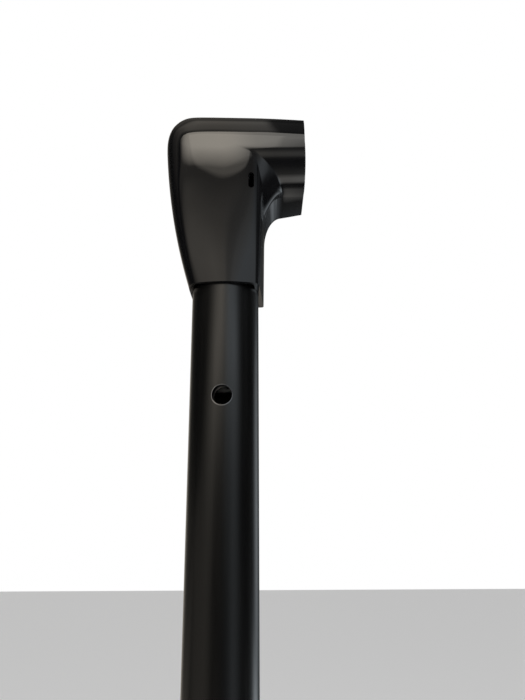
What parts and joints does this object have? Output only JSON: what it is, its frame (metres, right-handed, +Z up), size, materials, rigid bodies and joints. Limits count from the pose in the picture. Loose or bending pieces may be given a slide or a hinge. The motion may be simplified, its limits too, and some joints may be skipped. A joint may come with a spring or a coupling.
{
  "type": "door security bar",
  "caption": "Swing-down telescoping door security bar: glossy elbow head on a wall pivot, steel tubes with a pull-pin length lock, and a latch head that snaps on a keeper stud.",
  "frame": {"origin": "the pivot axis on the wall's face, at the centre of the wall plate's back", "axes": "+X points into the wall along the pivot axis, +Z up, -Y is the room-side front with the lock knob; the bar hangs along -Z"},
  "size_m": [0.0702, 0.0658, 0.7955],
  "materials": {
    "gloss_black": "high gloss moulded black",
    "satin_black_tube": "satin black powder coat on steel tube",
    "matte_black": "fine matt moulded black",
    "knob_black": "soft matt black knob",
    "button_red": "satin red",
    "cast_zinc": "as cast",
    "plate_steel": "zinc plated",
    "bright_steel": "turned and nickel plated",
    "screw_steel": "zinc plated",
    "spring_steel": "drawn wire",
    "bronze": "sintered bronze",
    "acetal": "natural acetal"
  },
  "bodies": {
    "wall_mount": {"wall_plate": "plate_steel", "pivot_axle": "bright_steel"},
    "bar": {"thrust_washer": "acetal", "pivot_bush": "bronze", "retaining_clip": "spring_steel", "head_core": "cast_zinc", "head_pin": "spring_steel", "head_front_shell": "gloss_black", "head_rear_shell": "gloss_black", "head_screws": "screw_steel", "outer_tube": "satin_black_tube", "end_collar": "matte_black", "lock_housing": "matte_black", "lock_strap": "matte_black", "clamp_screws": "screw_steel", "lock_cap": "bright_steel", "lock_spring": "spring_steel"},
    "plunger": {"lock_plunger": "bright_steel", "lock_knob": "knob_black", "knob_screw": "screw_steel"},
    "inner_bar": {"inner_tube": "satin_black_tube", "slide_shoe": "acetal", "reducer_sleeve": "satin_black_tube", "latch_core": "cast_zinc", "latch_pin": "spring_steel", "latch_bush": "bronze", "latch_spring": "spring_steel", "latch_front_shell": "gloss_black", "latch_rear_shell": "gloss_black", "latch_screws": "screw_steel"},
    "latch": {"latch_slider": "plate_steel", "release_button": "button_red"}
  },
  "joints": [
    {"name": "swing", "type": "hinge", "parent": "wall_mount", "child": "bar", "pos_m": [0, 0, 0], "axis": [1, 0, 0], "range_deg": [-90, 90]},
    {"name": "extend", "type": "slide", "parent": "bar", "child": "inner_bar", "axis": [0, 0, -1], "range_m": [0, 0.45]},
    {"name": "plunger_pull", "type": "slide", "parent": "bar", "child": "plunger", "axis": [0, -1, 0], "range_m": [0, 0.006], "stiffness_N_per_m": 900, "springref_m": -0.004, "deforming": ["lock_spring"]},
    {"name": "latch_release", "type": "slide", "parent": "inner_bar", "child": "latch", "axis": [0, 0, 1], "range_m": [0, 0.0022], "stiffness_N_per_m": 600, "springref_m": -0.004, "deforming": ["latch_spring"]}
  ]
}
